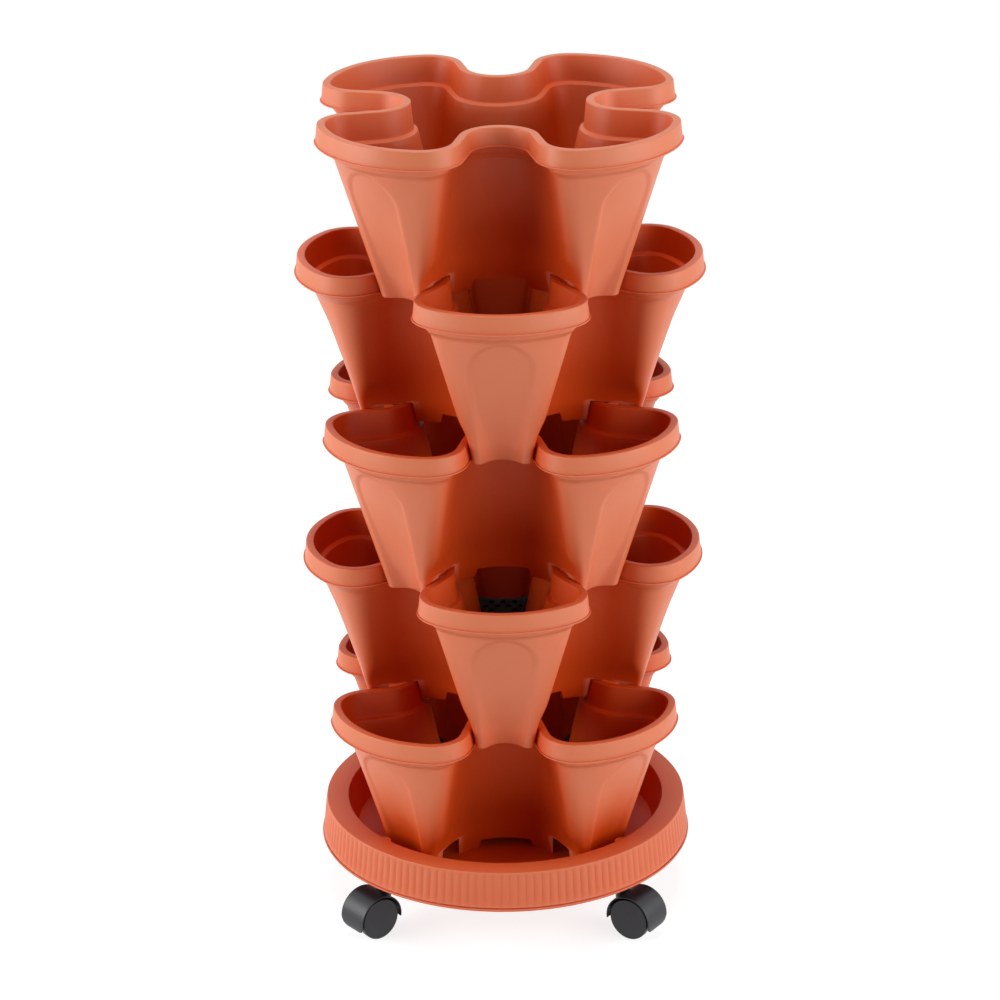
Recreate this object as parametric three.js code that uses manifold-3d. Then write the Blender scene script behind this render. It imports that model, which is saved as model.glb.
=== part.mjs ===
// A vertical planter tower: five identical four-lobed pots stacked on a saucer that rolls on four castors.
// Millimetres, +Z up, front towards -Y, origin on the floor under the tower's axis.
import * as THREE from "three";
import { mergeVertices } from "three/addons/utils/BufferGeometryUtils.js";
import Module from "manifold-3d";

const wasm = await Module();
wasm.setup();

// Stack
const tierCount = 5;
const lobeCount = 4;
const seatGap = 0.3; // between two pieces that rest on each other
const overrun = 2; // how far a cutter passes the face it cuts

// Pot: heights are measured up from its feet
const potHeight = 156;
const nestDepth = 19; // a pot's skirt reaches this far below the rim of the pot under it
const potWall = 2.5;
const floorPlate = 2.5;
const bandHeight = 15.5; // the turned-down band round the rim
const collarHeight = 12.3; // from the band's lower edge down to the ledge
const ledgeRise = 2;
const lipWidth = 8.2;
const bandFlare = 1.5; // the band is this much wider at its lower edge
const collarInset = 7.7;
const shoulderInset = 5.6;
const valleyEase = 1.7; // the shoulder is this much shallower in the valleys

// Clover outline of the rim's top edge, in the frame of a lobe that points along +X
const rim = {
  tip: 180,
  cornerAlong: 132.6,
  cornerAcross: 41.1,
  cornerRadius: 33.4,
  valley: 83.8,
  valleyRadius: 27.1,
};
// The straight-tapered body ends on this outline at the level of the feet
const root = {
  tip: 122.3,
  cornerAlong: 115.8,
  cornerAcross: 20.5,
  cornerRadius: 6,
  valley: 45,
  valleyRadius: 60,
};
// Each foot is slimmer than the body, so that it drops between two lobes of the pot below
const foot = { cornerAlong: 117.4, cornerAcross: 21, cornerRadius: 4.3 };
const footTopWiden = 3.7;
const footTopReach = 4.9;
const skirtRelief = 0.2;

// Arched panel pressed into the face of each lobe
const panelFootHalf = 19;
const panelCrownHalf = 31;
const panelFootDepth = 10;
const panelEdge = 0.5; // flat left between the panel and the corner's round

// Cut-outs in the skirt
const tabReach = 43.4; // from a valley's centre line to the outer edge of its tab
const footBack = 106; // where a foot's side wall starts, out from the axis
const slotHalf = 40;
const slotClear = 6;
const notchRootHalf = 26;
const notchCrownHalf = 22.6;
const notchHeight = 8.7;

// Drain holes in the floor plate
const drainRadius = 5;
const drainOut = 92;

// Lift-out floor grid
const gridTop = 40;
const gridPlate = 2.5;
const gridClear = 1.8;
const gridLegRadius = 5;
const gridLegOut = 96;
const gridSlotWidth = 4;
const gridSlotLength = 22;
const gridSlotGap = 10;

// Saucer
const saucerHeight = 37.6;
const standClear = 18.7; // from the tips of the lowest pot's feet to the edge of the saucer's floor
const mouthDraft = 5.5;
const rimWidth = 20.7;
const skirtDraft = 4.1; // how much narrower the skirt is at the rim than at its foot
const saucerWall = 2.5;
const beadHeight = 3;
const beadProud = 0.8;
const socketRadius = 7.5;
const socketInset = 17.7; // from the rim's outer edge
const socketAzimuth = 42.8; // degrees from the saucer's own X axis
const saucerTurn = -1.6; // degrees: the round saucer stands a little askew under the pots

// Twin-wheel castor
const castorHeight = 54;
const wheelRadius = 20;
const wheelFace = 15; // from the castor's middle to a wheel's flat outer face
const treadWidth = 7.7;
const wheelEdge = 1.2;
const hubRadius = 6;
const faceSkin = 2.5;
const trail = 15; // from the stem's axis to the wheels' axle
const runGap = 0.3;
const axleRadius = 2.5;
const webHalf = 2.2;
const hoodClear = 1.7;
const hoodWall = 1.2;
const hoodHalf = 15.8;
const hoodOuterAngle = -23; // degrees from level, on the side that trails
const hoodStemAngle = 196;
const bossRadius = 6.4;
const bossTop = 50.5;
const flangeRadius = 7;
const flangeHeight = 2.4;
const stemRadius = 3.5;
const stemIntoHood = 14;
const stemIntoSocket = 24;
const gripWall = 1.4;
const gripHeight = 9;
const gripFromTip = 3;
// How far each castor has swivelled from pointing straight out, in degrees
const swivels = { front_left: -2, front_right: 10, back_right: 0, back_left: 0 };

// Roundness
const panelShares = [0.4, 1]; // of the panel's half width, where its hollow has a point
const cornerSteps = 2;
const valleySteps = 2;
const saucerSides = 48;
const smallSides = 10;
const wheelSides = 16;
const hoodSteps = 10;
const drainSides = 8;

const finishes = {
  terracotta: new THREE.MeshStandardMaterial({ color: 0xd26a45, roughness: 0.5, metalness: 0 }),
  blackPlastic: new THREE.MeshStandardMaterial({ color: 0x1b1b1d, roughness: 0.6, metalness: 0 }),
  castorPlastic: new THREE.MeshStandardMaterial({ color: 0x333437, roughness: 0.45, metalness: 0 }),
  steel: new THREE.MeshStandardMaterial({ color: 0xa9abae, roughness: 0.35, metalness: 1 }),
};

// Levels and outlines that follow from the driving sizes
const pitch = potHeight - nestDepth;
const floorUnder = nestDepth + seatGap;
const floorTop = floorUnder + floorPlate;
const bandFoot = potHeight - bandHeight;
const ledgeLevel = bandFoot - collarHeight;
const bodyInset = collarInset + shoulderInset;
const saucerFloorRadius = root.tip + standClear;
const saucerMouthRadius = saucerFloorRadius + mouthDraft;
const saucerRimRadius = saucerMouthRadius + rimWidth;
const saucerFootRadius = saucerRimRadius + skirtDraft;
const socketOut = saucerRimRadius - socketInset;
const saucerBase = castorHeight;
const firstTierBase = saucerBase + saucerWall + seatGap;
const quarterTurn = Math.PI / 2;
const lobeTurn = (2 * Math.PI) / lobeCount;

const mix = (a, b, t) => a + (b - a) * t;

// The same outline, grown outwards by an amount; a valley's radius shrinks as its walls grow
function grow(outline, by) {
  return {
    ...outline,
    tip: outline.tip + by,
    cornerRadius: outline.cornerRadius + by,
    valley: outline.valley + by,
    valleyRadius: outline.valleyRadius - by,
  };
}

function mixOutline(a, b, t) {
  const out = {};
  for (const key of Object.keys(rim)) out[key] = mix(a[key], b[key], t);
  return out;
}

const underCollar = grow(rim, -bodyInset);
const shoulder = { ...underCollar, valley: underCollar.valley + valleyEase };

// The body's outer outline at a level above the feet
const bodyAt = (level) => mixOutline(root, shoulder, level / ledgeLevel);

// The skirt's outer outline: the body's, with slimmer corners that clear the rim below
function skirtAt(level) {
  const share = level / floorUnder;
  return {
    ...grow(bodyAt(level), -skirtRelief),
    tip: bodyAt(level).tip - skirtRelief,
    cornerAlong: foot.cornerAlong + footTopReach * share,
    cornerAcross: foot.cornerAcross + footTopWiden * share,
    cornerRadius: foot.cornerRadius,
  };
}

// Half width and depth of the pressed panel at a level
function panelAt(level) {
  const share = Math.min(1, level / ledgeLevel);
  return {
    depth: mix(panelFootDepth, 0, share),
    half: mix(panelFootHalf, panelCrownHalf, share),
  };
}

// Half of one lobe, from its axis to the middle of the valley, as 2-D points
function halfLobe(o, panel) {
  // the face arc passes through the tip and is tangent to the corner arc inside it
  const d = o.cornerAlong - o.tip;
  const faceRadius =
    (o.cornerRadius ** 2 - d ** 2 - o.cornerAcross ** 2) / (2 * (d + o.cornerRadius));
  const faceCentre = o.tip - faceRadius;
  const faceEnd = Math.atan2(o.cornerAcross, o.cornerAlong - faceCentre);
  const endAcross = faceRadius * Math.sin(faceEnd);
  const half = Math.min(panel.half, endAcross - panelEdge);
  const points = [];
  for (const share of panelShares) {
    const y = half * share;
    const dip = panel.depth * (1 - share ** 2);
    points.push(new THREE.Vector2(faceCentre + Math.sqrt(faceRadius ** 2 - y ** 2) - dip, y));
  }

  // a valley's arc is at most the one that meets the corner's arc with no straight side between
  const corner = new THREE.Vector2(o.cornerAlong, o.cornerAcross);
  const diagonal = Math.SQRT2 * (o.cornerAlong + o.cornerAcross);
  const widest =
    (o.valley ** 2 - o.valley * diagonal + corner.lengthSq() - o.cornerRadius ** 2) /
    (diagonal + 2 * (o.cornerRadius - o.valley));
  const valleyRadius = Math.min(o.valleyRadius, widest);

  // the side is the line that touches the corner circle and crosses over to the valley circle
  const valleyCentre = (o.valley + valleyRadius) * Math.SQRT1_2;
  const valley = new THREE.Vector2(valleyCentre, valleyCentre);
  const between = valley.clone().sub(corner);
  const lean = Math.acos(Math.min(1, (o.cornerRadius + valleyRadius) / between.length()));
  const sideNormal = Math.atan2(between.y, between.x) - lean;
  for (let i = 0; i <= cornerSteps; i++) {
    const a = mix(faceEnd, sideNormal, i / cornerSteps);
    points.push(
      new THREE.Vector2(Math.cos(a), Math.sin(a)).multiplyScalar(o.cornerRadius).add(corner),
    );
  }
  const valleyStart = sideNormal - Math.PI;
  const valleyEnd = -Math.PI + Math.PI / lobeCount;
  for (let i = 0; i <= valleySteps; i++) {
    const a = mix(valleyStart, valleyEnd, i / valleySteps);
    points.push(
      new THREE.Vector2(Math.cos(a), Math.sin(a)).multiplyScalar(valleyRadius).add(valley),
    );
  }
  return points;
}

// The whole clover at a level, anticlockwise from above
function cloverRing(outline, panel, level) {
  const upper = halfLobe(outline, panel);
  const lower = upper.slice(0, -1).reverse();
  const ring = [];
  for (let lobe = 0; lobe < lobeCount; lobe++) {
    const turn = lobe * lobeTurn;
    const around = [
      ...lower.map((p) => new THREE.Vector2(p.x, -p.y)),
      ...upper,
    ];
    for (const p of around) {
      const q = p.clone().rotateAround(new THREE.Vector2(), turn);
      ring.push(new THREE.Vector3(q.x, q.y, level));
    }
  }
  return ring;
}

// A closed solid through rings of equal count, listed from the bottom up
function loft(rings) {
  const n = rings[0].length;
  const positions = rings.flat().flatMap((p) => [p.x, p.y, p.z]);
  const index = [];
  for (let r = 0; r + 1 < rings.length; r++) {
    for (let i = 0; i < n; i++) {
      const a = r * n + i;
      const b = r * n + ((i + 1) % n);
      index.push(a, b, b + n, a, b + n, a + n);
    }
  }
  const top = (rings.length - 1) * n;
  const flat = (ring) => ring.map((p) => new THREE.Vector2(p.x, p.y));
  for (const [a, b, c] of THREE.ShapeUtils.triangulateShape(flat(rings[0]), [])) index.push(c, b, a);
  for (const [a, b, c] of THREE.ShapeUtils.triangulateShape(flat(rings.at(-1)), []))
    index.push(top + a, top + b, top + c);
  const geometry = new THREE.BufferGeometry();
  geometry.setAttribute("position", new THREE.Float32BufferAttribute(positions, 3));
  geometry.setIndex(index);
  return geometry;
}

function solid(geometry) {
  const bare = new THREE.BufferGeometry();
  bare.setAttribute("position", geometry.getAttribute("position"));
  if (geometry.index) bare.setIndex(geometry.index);
  const merged = mergeVertices(bare, 1e-4);
  return new wasm.Manifold(
    new wasm.Mesh({
      numProp: 3,
      vertProperties: merged.attributes.position.array,
      triVerts: new Uint32Array(merged.index.array),
    }),
  );
}

function geometryOf(manifold) {
  const mesh = manifold.getMesh();
  const geometry = new THREE.BufferGeometry();
  geometry.setAttribute("position", new THREE.BufferAttribute(mesh.vertProperties, 3));
  geometry.setIndex(new THREE.BufferAttribute(mesh.triVerts, 1));
  return geometry.toNonIndexed();
}

// An upright cylinder between two levels
function post(radius, from, to, sides = smallSides) {
  return new THREE.CylinderGeometry(radius, radius, to - from, sides)
    .rotateX(quarterTurn)
    .translate(0, 0, (from + to) / 2);
}

function box(width, depth, from, to) {
  return new THREE.BoxGeometry(width, depth, to - from).translate(0, 0, (from + to) / 2);
}

// A flat outline pulled up from one level to another
function prism(points, from, to) {
  const shape = new THREE.Shape(points.map(([x, y]) => new THREE.Vector2(x, y)));
  return new THREE.ExtrudeGeometry(shape, { depth: to - from, bevelEnabled: false }).translate(
    0,
    0,
    from,
  );
}

// Cutter for one slot: between the outer edge of a tab and the start of the foot's side
function slotCutter() {
  const tabLine = tabReach * Math.SQRT2; // a tab's edge runs at 45 degrees to the lobe
  return prism(
    [
      [tabLine + slotClear, slotClear],
      [footBack, slotClear],
      [footBack, slotHalf],
      [Math.min(tabLine + slotHalf, footBack - potWall), slotHalf],
    ],
    -overrun,
    floorUnder,
  );
}

// Cutter for the wide notch in the middle of a valley, which lies along +X here
function notchCutter() {
  const reach = skirtAt(nestDepth).valley + skirtAt(0).valleyRadius;
  const lower = mix(notchCrownHalf, notchRootHalf, (notchHeight + overrun) / notchHeight);
  const shape = new THREE.Shape([
    new THREE.Vector2(-lower, -overrun),
    new THREE.Vector2(lower, -overrun),
    new THREE.Vector2(notchCrownHalf, notchHeight),
    new THREE.Vector2(-notchCrownHalf, notchHeight),
  ]);
  return new THREE.ExtrudeGeometry(shape, { depth: reach, bevelEnabled: false })
    .rotateX(quarterTurn)
    .rotateZ(quarterTurn);
}

// One pot, with its lobes along the X and Y axes and its feet at level 0
function makePot() {
  const outerRings = [
    cloverRing(skirtAt(0), panelAt(0), 0),
    cloverRing(skirtAt(floorUnder), panelAt(floorUnder), floorUnder),
    cloverRing(bodyAt(floorUnder), panelAt(floorUnder), floorUnder),
    cloverRing(shoulder, panelAt(ledgeLevel), ledgeLevel),
    cloverRing(grow(rim, -collarInset), panelAt(ledgeLevel), ledgeLevel + ledgeRise),
    cloverRing(grow(rim, -collarInset), panelAt(ledgeLevel), bandFoot),
    cloverRing(grow(rim, bandFlare), panelAt(ledgeLevel), bandFoot),
    cloverRing(rim, panelAt(ledgeLevel), potHeight),
  ];
  const inBody = (level) => grow(bodyAt(level), -potWall);
  const innerLedge = ledgeLevel + potWall;
  const hollowRings = [
    cloverRing(inBody(floorTop), panelAt(floorTop), floorTop),
    cloverRing(inBody(ledgeLevel), panelAt(ledgeLevel), innerLedge),
    cloverRing(grow(rim, -collarInset - potWall), panelAt(ledgeLevel), innerLedge),
    cloverRing(grow(rim, -lipWidth), panelAt(ledgeLevel), potHeight),
    cloverRing(grow(rim, -lipWidth), panelAt(ledgeLevel), potHeight + overrun),
  ];
  const underRings = [
    cloverRing(grow(skirtAt(-overrun), -potWall), panelAt(0), -overrun),
    cloverRing(grow(skirtAt(floorUnder), -potWall), panelAt(floorUnder), floorUnder),
  ];
  let pot = solid(loft(outerRings)).subtract(solid(loft(hollowRings))).subtract(solid(loft(underRings)));
  pot = pot.subtract(solid(post(drainRadius, floorUnder - overrun, floorTop + overrun, drainSides)));
  for (let lobe = 0; lobe < lobeCount; lobe++) {
    const turn = lobe * lobeTurn;
    const slot = slotCutter();
    const otherSlot = slotCutter().rotateX(Math.PI).translate(0, 0, floorUnder - overrun);
    const drain = post(drainRadius, floorUnder - overrun, floorTop + overrun, drainSides);
    const cutters = [
      slot,
      otherSlot,
      drain.translate(drainOut, 0, 0),
      notchCutter().rotateZ(lobeTurn / 2),
    ];
    for (const cutter of cutters) pot = pot.subtract(solid(cutter.rotateZ(turn)));
  }
  return geometryOf(pot);
}

// The lift-out grid that keeps the soil off the pot's floor
function makeGrid() {
  const under = gridTop - gridPlate;
  const outline = grow(bodyAt(under), -potWall - gridClear);
  let grid = solid(
    loft([
      cloverRing(outline, panelAt(under), under),
      cloverRing(outline, panelAt(under), gridTop),
    ]),
  );
  const legFoot = floorTop + seatGap;
  const joined = under + gridPlate / 2;
  for (let lobe = 0; lobe < lobeCount; lobe++) {
    const turn = lobe * lobeTurn;
    const leg = post(gridLegRadius, legFoot, joined, drainSides).translate(gridLegOut, 0, 0);
    grid = grid.add(solid(leg.rotateZ(turn)));
    const slotOut = gridLegOut - gridLegRadius - gridSlotGap;
    const slot = box(gridSlotWidth, gridSlotLength, under - overrun, gridTop + overrun);
    grid = grid.subtract(solid(slot.translate(slotOut, 0, 0).rotateZ(turn)));
  }
  const hub = post(gridLegRadius, legFoot, joined, drainSides);
  return geometryOf(grid.add(solid(hub)));
}

// The saucer: a floor, a raised hollow rim with a skirt, and four sockets inside the rim
function makeSaucer() {
  const top = saucerBase + saucerHeight;
  const floorFace = saucerBase + saucerWall;
  const beadTop = saucerBase + beadHeight;
  const skirtAtBead = mix(saucerFootRadius, saucerRimRadius, beadHeight / saucerHeight);
  const profile = [
    [0, saucerBase],
    [saucerFloorRadius + saucerWall, saucerBase],
    [saucerMouthRadius + saucerWall, top - saucerWall],
    [saucerRimRadius - saucerWall, top - saucerWall],
    [saucerFootRadius - saucerWall, saucerBase],
    [saucerFootRadius + beadProud, saucerBase],
    [saucerFootRadius + beadProud, beadTop],
    [skirtAtBead, beadTop],
    [saucerRimRadius, top],
    [saucerMouthRadius, top],
    [saucerFloorRadius, floorFace],
    [0, floorFace],
  ].map(([r, z]) => new THREE.Vector2(r, z));
  const bowl = new THREE.LatheGeometry(profile, saucerSides).rotateX(quarterTurn);
  let saucer = solid(bowl.rotateZ(THREE.MathUtils.degToRad(saucerTurn)));
  for (const { x, y } of socketPlaces()) {
    const socket = post(socketRadius, saucerBase, top - saucerWall / 2).translate(x, y, 0);
    saucer = saucer.add(solid(socket));
  }
  for (const { x, y } of socketPlaces()) {
    const depth = stemIntoSocket + 2 * seatGap;
    const bore = post(gripRadius() + runGap, saucerBase - overrun, saucerBase + depth);
    saucer = saucer.subtract(solid(bore.translate(x, y, 0)));
  }
  return geometryOf(saucer);
}

const gripRadius = () => stemRadius + runGap + gripWall;

// The socket axes, in the order of the swivels, each with the way that its castor points
function socketPlaces() {
  const azimuth = THREE.MathUtils.degToRad(socketAzimuth);
  const around = [Math.PI + azimuth, -azimuth, azimuth, Math.PI - azimuth];
  return Object.entries(swivels).map(([name, swivel], i) => {
    const direction = around[i] + THREE.MathUtils.degToRad(saucerTurn);
    return {
      name,
      x: socketOut * Math.cos(direction),
      y: socketOut * Math.sin(direction),
      turn: direction + THREE.MathUtils.degToRad(swivel),
    };
  });
}

// Castor pieces share one frame: the stem's axis is Z, the wheels trail towards +X, the axle is along Y

// Stem: a pin that swivels in the hood, a flange under the socket and a reduced tip for the grip ring
function makeStem() {
  const flangeTop = saucerBase - seatGap;
  const flangeFoot = flangeTop - flangeHeight;
  const tip = saucerBase + stemIntoSocket;
  const foot = bossTop - stemIntoHood;
  const profile = [
    [0, foot],
    [stemRadius, foot],
    [stemRadius, flangeFoot],
    [flangeRadius, flangeFoot],
    [flangeRadius, flangeTop],
    [stemRadius, flangeTop],
    [stemRadius, tip - stemRadius / 2],
    [stemRadius / 2, tip],
    [0, tip],
  ].map(([r, z]) => new THREE.Vector2(r, z));
  return new THREE.LatheGeometry(profile, smallSides).rotateX(quarterTurn);
}

// Grip ring: the spring sleeve that holds the stem in its socket
function makeGripRing() {
  const top = saucerBase + stemIntoSocket - gripFromTip;
  const inner = stemRadius + runGap;
  const profile = [
    [inner, top - gripHeight],
    [gripRadius(), top - gripHeight],
    [gripRadius(), top],
    [inner, top],
    [inner, top - gripHeight],
  ].map(([r, z]) => new THREE.Vector2(r, z));
  return new THREE.LatheGeometry(profile, smallSides).rotateX(quarterTurn);
}

// Hood: a part drum over both wheels, on a middle web that carries the axle and the stem
function makeHood() {
  const inner = wheelRadius + hoodClear;
  const outer = inner + hoodWall;
  const start = THREE.MathUtils.degToRad(hoodOuterAngle);
  const end = THREE.MathUtils.degToRad(hoodStemAngle);
  const arc = (radius, from, to) =>
    Array.from({ length: hoodSteps + 1 }, (_, i) => {
      const a = mix(from, to, i / hoodSteps);
      return [trail + radius * Math.cos(a), wheelRadius + radius * Math.sin(a)];
    });
  // drawn in the X-Z plane and pulled along Y, half to each side
  const slab = (points, half) => prism(points, -half, half).rotateX(quarterTurn);
  const drum = slab([...arc(outer, start, end), ...arc(inner, end, start)], hoodHalf);
  const middle = (inner + outer) / 2;
  const web = slab(arc(middle, start, end), webHalf);
  const bossFoot = wheelRadius + hubRadius;
  const boss = post(bossRadius, bossFoot, bossTop);
  const pinHole = post(stemRadius + runGap, bossTop - stemIntoHood - runGap, bossTop + overrun);
  const axleHole = new THREE.CylinderGeometry(
    axleRadius + runGap,
    axleRadius + runGap,
    2 * (webHalf + overrun),
    drainSides,
  ).translate(trail, 0, wheelRadius);
  let hood = solid(drum).add(solid(web)).add(solid(boss));
  hood = hood.subtract(solid(pinHole)).subtract(solid(axleHole));
  return geometryOf(hood);
}

// Wheel on the -Y side: a flat-faced disc with a rounded tread and a blind hub
function makeWheel() {
  const tread = wheelFace - treadWidth;
  const hub = webHalf + runGap;
  const bore = axleRadius + runGap;
  const profile = [
    [0, wheelFace],
    [wheelRadius - wheelEdge, wheelFace],
    [wheelRadius, wheelFace - wheelEdge],
    [wheelRadius, tread],
    [hubRadius, tread],
    [hubRadius, hub],
    [bore, hub],
    [bore, wheelFace - faceSkin],
    [0, wheelFace - faceSkin],
  ].map(([r, y]) => new THREE.Vector2(r, -y));
  return new THREE.LatheGeometry(profile, wheelSides);
}

function makeAxle() {
  const length = 2 * (wheelFace - faceSkin - runGap);
  return new THREE.CylinderGeometry(axleRadius, axleRadius, length, drainSides);
}

const tower = new THREE.Group();

function addMesh(group, name, geometry, finish) {
  const mesh = new THREE.Mesh(geometry, finish);
  mesh.name = name;
  group.add(mesh);
  return mesh;
}

// Pots and grids: every other tier is turned by half a lobe, so feet drop into valleys
const potGeometry = makePot();
const gridGeometry = makeGrid();
for (let tier = 1; tier <= tierCount; tier++) {
  const group = new THREE.Group();
  group.position.z = firstTierBase + (tier - 1) * pitch;
  group.rotation.z = tier % 2 ? lobeTurn / 2 : 0;
  addMesh(group, `tier_${tier}_pot`, potGeometry, finishes.terracotta);
  addMesh(group, `tier_${tier}_grid`, gridGeometry, finishes.blackPlastic);
  tower.add(group);
}

addMesh(tower, "saucer", makeSaucer(), finishes.terracotta);

const stemGeometry = makeStem();
const gripGeometry = makeGripRing();
const hoodGeometry = makeHood();
const wheelGeometry = makeWheel();
const axleGeometry = makeAxle();
for (const { name, x, y, turn } of socketPlaces()) {
  const castor = new THREE.Group();
  castor.position.set(x, y, 0);
  castor.rotation.z = turn;
  addMesh(castor, `castor_${name}_stem`, stemGeometry, finishes.steel);
  addMesh(castor, `castor_${name}_grip_ring`, gripGeometry, finishes.steel);
  addMesh(castor, `castor_${name}_hood`, hoodGeometry, finishes.castorPlastic);
  addMesh(castor, `castor_${name}_axle`, axleGeometry, finishes.steel).position.set(
    trail,
    0,
    wheelRadius,
  );
  const wheels = { wheel_a: 0, wheel_b: Math.PI };
  for (const [part, flip] of Object.entries(wheels)) {
    const wheel = addMesh(castor, `castor_${name}_${part}`, wheelGeometry, finishes.castorPlastic);
    wheel.position.set(trail, 0, wheelRadius);
    wheel.rotation.z = flip;
  }
  tower.add(castor);
}

export default tower;
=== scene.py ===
"""A stacking planter tower, dressed for rendering.

Five clover-shaped pots with lift-out floor grids stand on a reeded saucer, which rolls on four
hooded twin-wheel castors. Every length is in millimetres until a mesh is made, the classes hold
their angles in degrees, apart from the camera's, and places come from the frame.
"""

from __future__ import annotations

import logging
import math
from collections.abc import Callable, Iterable, Mapping, Sequence
from dataclasses import dataclass, field, fields, replace
from enum import Enum
from typing import Any

import bmesh
import bpy
import numpy as np
from mathutils import Matrix, Vector

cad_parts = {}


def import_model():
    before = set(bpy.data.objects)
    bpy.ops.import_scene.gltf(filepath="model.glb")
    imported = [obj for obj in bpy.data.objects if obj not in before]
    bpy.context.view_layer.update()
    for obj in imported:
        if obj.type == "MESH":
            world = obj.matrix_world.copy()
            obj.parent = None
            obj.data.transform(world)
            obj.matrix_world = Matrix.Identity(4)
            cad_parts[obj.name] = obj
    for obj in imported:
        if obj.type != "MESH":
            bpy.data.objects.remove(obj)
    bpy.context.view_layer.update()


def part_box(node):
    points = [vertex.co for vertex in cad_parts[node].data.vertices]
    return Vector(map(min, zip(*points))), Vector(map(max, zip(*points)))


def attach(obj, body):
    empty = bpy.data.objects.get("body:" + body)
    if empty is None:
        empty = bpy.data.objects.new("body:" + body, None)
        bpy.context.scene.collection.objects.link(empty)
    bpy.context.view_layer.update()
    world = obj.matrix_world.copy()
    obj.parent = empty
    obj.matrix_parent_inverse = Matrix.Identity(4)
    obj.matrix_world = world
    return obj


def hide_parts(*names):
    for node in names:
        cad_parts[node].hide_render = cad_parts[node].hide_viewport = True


log = logging.getLogger("planter_tower")

MM = 0.001
LOBES = 4
LOBE_TURN = math.tau / LOBES
# how far a cutter reaches past what it cuts
OVERRUN = 2.0
# points nearer than this, in metres, become one
WELD = 1e-6
# a corner that bends less than this, in radians, counts as straight
STRAIGHT = 1e-4
WHITE = "#FFFFFF"

Point = tuple[float, float]
Solid = tuple[np.ndarray, list[list[int]]]
Piece = bpy.types.Object
Tree = bpy.types.NodeTree
Socket = bpy.types.NodeSocket
Dip = Callable[[np.ndarray], np.ndarray]


class Slot(Enum):
    """Material slots of the record."""

    TERRACOTTA = "terracotta_plastic"
    BLACK = "black_plastic"
    CASTOR = "castor_plastic"
    ZINC = "zinc_steel"


class Corner(Enum):
    """The four castors, by the corner's name in the frame's nodes."""

    FRONT_LEFT = "front_left"
    FRONT_RIGHT = "front_right"
    BACK_RIGHT = "back_right"
    BACK_LEFT = "back_left"


def linear(code: str) -> tuple[float, float, float, float]:
    """Turn an sRGB colour into linear light.

    Args:
        code: The colour as #RRGGBB.

    Returns:
        Red, green, blue and an alpha of 1.
    """
    parts = [int(code[i : i + 2], 16) / 255 for i in (1, 3, 5)]
    # the standard curve: a short straight foot, then a power
    red, green, blue = (p / 12.92 if p <= 0.04045 else ((p + 0.055) / 1.055) ** 2.4 for p in parts)
    return red, green, blue, 1.0


def add(
    tree: Tree, kind: str, inputs: Mapping[Any, Any] | None = None, **settings: Any
) -> bpy.types.Node:
    """Add a node with its settings, values and links.

    Args:
        tree: The tree that gets the node.
        kind: The node's type.
        inputs: Values, or sockets to link, by input name or number.
        settings: Properties of the node.

    Returns:
        The new node.
    """
    node = tree.nodes.new(kind)
    for name, value in settings.items():
        setattr(node, name, value)
    for key, value in (inputs or {}).items():
        if isinstance(value, Socket):
            tree.links.new(value, node.inputs[key])
        else:
            node.inputs[key].default_value = value
    return node


def bare_tree(owner: bpy.types.Material | bpy.types.World) -> Tree:
    """Switch on the nodes of a material or a world, and empty its tree.

    Args:
        owner: The material or world.

    Returns:
        Its empty tree.
    """
    owner.use_nodes = True
    owner.node_tree.nodes.clear()
    return owner.node_tree


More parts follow.
